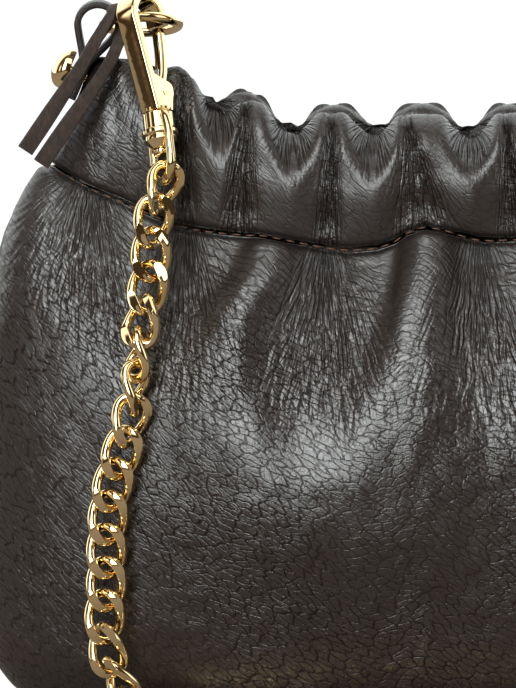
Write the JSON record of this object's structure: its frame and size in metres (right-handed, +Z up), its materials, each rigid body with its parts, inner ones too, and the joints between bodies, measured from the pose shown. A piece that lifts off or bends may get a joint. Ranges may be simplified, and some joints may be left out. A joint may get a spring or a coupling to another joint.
{
  "type": "shoulder bag",
  "caption": "Soft leather shoulder bag with a gathered top, side rings with leather thongs, and a curb chain strap on swivel trigger clasps.",
  "frame": {"origin": "middle of the underside of the base, on the table", "axes": "+Z up, +X along the bag's length towards its right end, front towards -Y"},
  "size_m": [0.2696, 0.1045, 0.1728],
  "materials": {
    "leather": "pebbled, semi-gloss dark brown",
    "cut_leather": "matte raw-edged lace",
    "lining": "plain cotton twill",
    "board": "pressed fibre board",
    "elastic": "woven elastic band",
    "gold": "polished gold plate",
    "steel": "nickel plated"
  },
  "bodies": {
    "bag": {"front_panel": "leather", "back_panel": "leather", "front_channel": "leather", "back_channel": "leather", "base_panel": "leather", "base_board": "board", "lining_bag": "lining", "gather_elastic": "elastic", "slip_pocket": "lining", "magnet_front": "steel", "magnet_back": "steel", "tab_left": "leather", "tab_right": "leather", "stud_left": "gold", "stud_right": "gold"},
    "ring_left": {"ring_left": "gold", "thong_left": "cut_leather"},
    "clasp_left": {"clasp_body_left": "gold", "gate_rivet_left": "gold", "gate_spring_left": "steel"},
    "gate_left": {"gate_left": "gold"},
    "swivel_left": {"swivel_bail_left": "gold"},
    "link_01": {"link_01": "gold"},
    "ring_right": {"ring_right": "gold", "thong_right": "cut_leather"},
    "clasp_right": {"clasp_body_right": "gold", "gate_rivet_right": "gold", "gate_spring_right": "steel"},
    "gate_right": {"gate_right": "gold"},
    "swivel_right": {"swivel_bail_right": "gold"},
    "right_fall_1": {"right_fall_1": "gold"},
    "link_02": {"link_02": "gold"},
    "link_03": {"link_03": "gold"},
    "link_04": {"link_04": "gold"},
    "link_05": {"link_05": "gold"},
    "link_06": {"link_06": "gold"},
    "link_07": {"link_07": "gold"},
    "link_08": {"link_08": "gold"},
    "link_09": {"link_09": "gold"},
    "link_10": {"link_10": "gold"},
    "link_11": {"link_11": "gold"},
    "link_12": {"link_12": "gold"},
    "link_13": {"link_13": "gold"},
    "link_14": {"link_14": "gold"},
    "link_15": {"link_15": "gold"},
    "link_16": {"link_16": "gold"},
    "link_17": {"link_17": "gold"},
    "left_run_1": {"left_run_1": "gold"},
    "left_run_2": {"left_run_2": "gold"},
    "left_run_3": {"left_run_3": "gold"},
    "left_run_4": {"left_run_4": "gold"},
    "right_fall_2": {"right_fall_2": "gold"},
    "right_fall_3": {"right_fall_3": "gold"},
    "right_fall_4": {"right_fall_4": "gold"},
    "right_run_1": {"right_run_1": "gold"},
    "right_run_2": {"right_run_2": "gold"},
    "right_run_3": {"right_run_3": "gold"},
    "right_run_4": {"right_run_4": "gold"}
  },
  "joints": [
    {"name": "ring_swing_left", "type": "hinge", "parent": "bag", "child": "ring_left", "pos_m": [-0.10519, 0, 0.164], "axis": [0, -0.9521, 0.3057], "range_deg": [0, 8]},
    {"name": "clasp_hang_left", "type": "hinge", "parent": "ring_left", "child": "clasp_left", "pos_m": [-0.09669, -0.00823, 0.16664], "axis": [0, -0.9521, 0.3057], "range_deg": [-8, 0]},
    {"name": "gate_open_left", "type": "hinge", "parent": "clasp_left", "child": "gate_left", "pos_m": [-0.09266, -0.01339, 0.14867], "axis": [0.7964, -0.4976, 0.3437], "range_deg": [0, 14], "stiffness_Nm_per_rad": 0.02, "springref_deg": -11.46, "deforming": ["gate_spring_left"]},
    {"name": "swivel_turn_left", "type": "hinge", "parent": "clasp_left", "child": "swivel_left", "pos_m": [-0.09246, -0.01597, 0.14447], "axis": [-0.1132, 0.4356, 0.893], "range_deg": [-12, 12]},
    {"name": "chain_hang_left", "type": "hinge", "parent": "clasp_left", "child": "link_01", "pos_m": [-0.09061, -0.02308, 0.12992], "axis": [-0.9429, 0, 0.333], "range_deg": [0, 5]},
    {"name": "ring_swing_right", "type": "hinge", "parent": "bag", "child": "ring_right", "pos_m": [0.10519, 0, 0.164], "axis": [0, 0.9521, -0.3057], "range_deg": [0, 8]},
    {"name": "clasp_hang_right", "type": "hinge", "parent": "ring_right", "child": "clasp_right", "pos_m": [0.09669, -0.00823, 0.16664], "axis": [0, 0.9521, -0.3057], "range_deg": [-8, 0]},
    {"name": "gate_open_right", "type": "hinge", "parent": "clasp_right", "child": "gate_right", "pos_m": [0.09266, -0.01339, 0.14867], "axis": [0.7964, 0.4976, -0.3437], "range_deg": [0, 14], "stiffness_Nm_per_rad": 0.02, "springref_deg": -11.46, "deforming": ["gate_spring_right"]},
    {"name": "swivel_turn_right", "type": "hinge", "parent": "clasp_right", "child": "swivel_right", "pos_m": [0.09246, -0.01597, 0.14447], "axis": [0.1132, 0.4356, 0.893], "range_deg": [-12, 12]},
    {"name": "chain_hang_right", "type": "hinge", "parent": "clasp_right", "child": "right_fall_1", "pos_m": [0.09061, -0.02308, 0.12992], "axis": [-0.9429, 0, -0.333], "range_deg": [0, 5]},
    {"name": "link_bend_02", "type": "hinge", "parent": "link_01", "child": "link_02", "pos_m": [-0.09239, -0.02434, 0.12427], "axis": [-0.9592, 0, 0.2827], "range_deg": [0, 8]},
    {"name": "link_bend_03", "type": "hinge", "parent": "link_02", "child": "link_03", "pos_m": [-0.0937, -0.02601, 0.11679], "axis": [-0.9983, 0, 0.0587], "range_deg": [0, 8]},
    {"name": "link_bend_04", "type": "hinge", "parent": "link_03", "child": "link_04", "pos_m": [-0.09428, -0.0277, 0.10919], "axis": [-0.9955, 0, 0.0951], "range_deg": [0, 8]},
    {"name": "link_bend_05", "type": "hinge", "parent": "link_04", "child": "link_05", "pos_m": [-0.09533, -0.02939, 0.10164], "axis": [-0.9838, 0, 0.1791], "range_deg": [0, 8]},
    {"name": "link_bend_06", "type": "hinge", "parent": "link_05", "child": "link_06", "pos_m": [-0.09646, -0.03107, 0.09408], "axis": [-0.9932, 0, 0.1167], "range_deg": [0, 8]},
    {"name": "link_bend_07", "type": "hinge", "parent": "link_06", "child": "link_07", "pos_m": [-0.09727, -0.03268, 0.08647], "axis": [-0.9956, 0, 0.0938], "range_deg": [0, 8]},
    {"name": "link_bend_08", "type": "hinge", "parent": "link_07", "child": "link_08", "pos_m": [-0.09823, -0.03349, 0.07879], "axis": [-0.9883, 0, 0.1528], "range_deg": [0, 8]},
    {"name": "link_bend_09", "type": "hinge", "parent": "link_08", "child": "link_09", "pos_m": [-0.09977, -0.03355, 0.07113], "axis": [-0.9704, 0, 0.2415], "range_deg": [0, 8]},
    {"name": "link_bend_10", "type": "hinge", "parent": "link_09", "child": "link_10", "pos_m": [-0.10175, -0.03355, 0.06356], "axis": [-0.9642, 0, 0.265], "range_deg": [0, 8]},
    {"name": "link_bend_11", "type": "hinge", "parent": "link_10", "child": "link_11", "pos_m": [-0.10336, -0.03355, 0.05592], "axis": [-0.9891, 0, 0.1473], "range_deg": [0, 8]},
    {"name": "link_bend_12", "type": "hinge", "parent": "link_11", "child": "link_12", "pos_m": [-0.10413, -0.03355, 0.04814], "axis": [-0.9988, 0, 0.0489], "range_deg": [0, 8]},
    {"name": "link_bend_13", "type": "hinge", "parent": "link_12", "child": "link_13", "pos_m": [-0.10435, -0.03355, 0.04032], "axis": [-1, 0, 0.0078], "range_deg": [0, 8]},
    {"name": "link_bend_14", "type": "hinge", "parent": "link_13", "child": "link_14", "pos_m": [-0.10458, -0.03355, 0.0325], "axis": [-0.9987, 0, 0.0514], "range_deg": [0, 8]},
    {"name": "link_bend_15", "type": "hinge", "parent": "link_14", "child": "link_15", "pos_m": [-0.10454, -0.03366, 0.0247], "axis": [-0.9981, 0, -0.0613], "range_deg": [0, 8]},
    {"name": "link_bend_16", "type": "hinge", "parent": "link_15", "child": "link_16", "pos_m": [-0.1029, -0.03428, 0.01722], "axis": [-0.9316, 0, -0.3635], "range_deg": [0, 8]},
    {"name": "link_bend_17", "type": "hinge", "parent": "link_16", "child": "link_17", "pos_m": [-0.09909, -0.03567, 0.01069], "axis": [-0.7721, 0, -0.6355], "range_deg": [0, 8]},
    {"name": "left_run_bend_1", "type": "hinge", "parent": "link_17", "child": "left_run_1", "pos_m": [-0.09351, -0.0377, 0.00581], "axis": [0, 0, -1], "range_deg": [0, 8]},
    {"name": "left_run_bend_2", "type": "hinge", "parent": "left_run_1", "child": "left_run_2", "pos_m": [-0.07213, -0.04548, 0.0023], "axis": [0, 0, -1], "range_deg": [0, 8]},
    {"name": "left_run_bend_3", "type": "hinge", "parent": "left_run_2", "child": "left_run_3", "pos_m": [-0.04997, -0.05323, 0.0023], "axis": [0, 0, -1], "range_deg": [0, 8]},
    {"name": "left_run_bend_4", "type": "hinge", "parent": "left_run_3", "child": "left_run_4", "pos_m": [-0.02677, -0.056, 0.0023], "axis": [0, 0, -1], "range_deg": [0, 8]},
    {"name": "right_fall_bend_2", "type": "hinge", "parent": "right_fall_1", "child": "right_fall_2", "pos_m": [0.09538, -0.02767, 0.10134], "axis": [-0.9842, 0, -0.1769], "range_deg": [0, 5]},
    {"name": "right_fall_bend_3", "type": "hinge", "parent": "right_fall_2", "child": "right_fall_3", "pos_m": [0.09986, -0.03183, 0.07073], "axis": [-0.97, 0, -0.2429], "range_deg": [0, 5]},
    {"name": "right_fall_bend_4", "type": "hinge", "parent": "right_fall_3", "child": "right_fall_4", "pos_m": [0.1046, -0.03196, 0.03213], "axis": [-0.9986, 0, -0.0524], "range_deg": [0, 5]},
    {"name": "right_run_bend_1", "type": "hinge", "parent": "right_fall_4", "child": "right_run_1", "pos_m": [0.09322, -0.03621, 0.00564], "axis": [0, 0, 1], "range_deg": [0, 8]},
    {"name": "right_run_bend_2", "type": "hinge", "parent": "right_run_1", "child": "right_run_2", "pos_m": [0.07182, -0.044, 0.0023], "axis": [0, 0, 1], "range_deg": [0, 8]},
    {"name": "right_run_bend_3", "type": "hinge", "parent": "right_run_2", "child": "right_run_3", "pos_m": [0.04974, -0.05195, 0.0023], "axis": [0, 0, 1], "range_deg": [0, 8]},
    {"name": "right_run_bend_4", "type": "hinge", "parent": "right_run_3", "child": "right_run_4", "pos_m": [0.02675, -0.05594, 0.0023], "axis": [0, 0, 1], "range_deg": [0, 8]}
  ],
  "couplings": [
    {"joint": "clasp_hang_left", "follows": "ring_swing_left", "ratio": -1},
    {"joint": "clasp_hang_right", "follows": "ring_swing_right", "ratio": -1}
  ]
}
